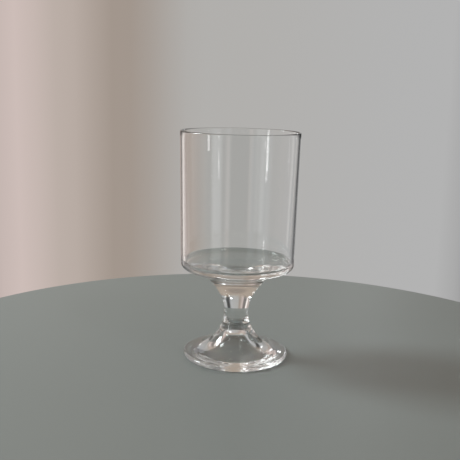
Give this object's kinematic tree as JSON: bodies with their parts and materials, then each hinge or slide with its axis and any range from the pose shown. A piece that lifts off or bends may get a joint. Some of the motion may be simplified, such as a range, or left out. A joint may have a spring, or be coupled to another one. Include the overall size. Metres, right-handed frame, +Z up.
{
  "type": "water goblet",
  "caption": "Short-stemmed clear glass water goblet: a tall, nearly straight bowl with a thick sloping base on a waisted solid stem and a flared foot, hollow underneath.",
  "frame": {"origin": "centre of the foot's resting ring, in the plane of the table", "axes": "+Z up, along the axis of the bowl, stem and foot; the goblet is round, so X and Y are free"},
  "size_m": [0.0754, 0.0752, 0.145],
  "materials": {
    "glass": "clear soda-lime glass with a fire-polished, faintly wavy surface and a very slight grey-green tint"
  },
  "bodies": {
    "root": {"bowl": "glass", "stem": "glass", "foot": "glass"}
  },
  "joints": []
}
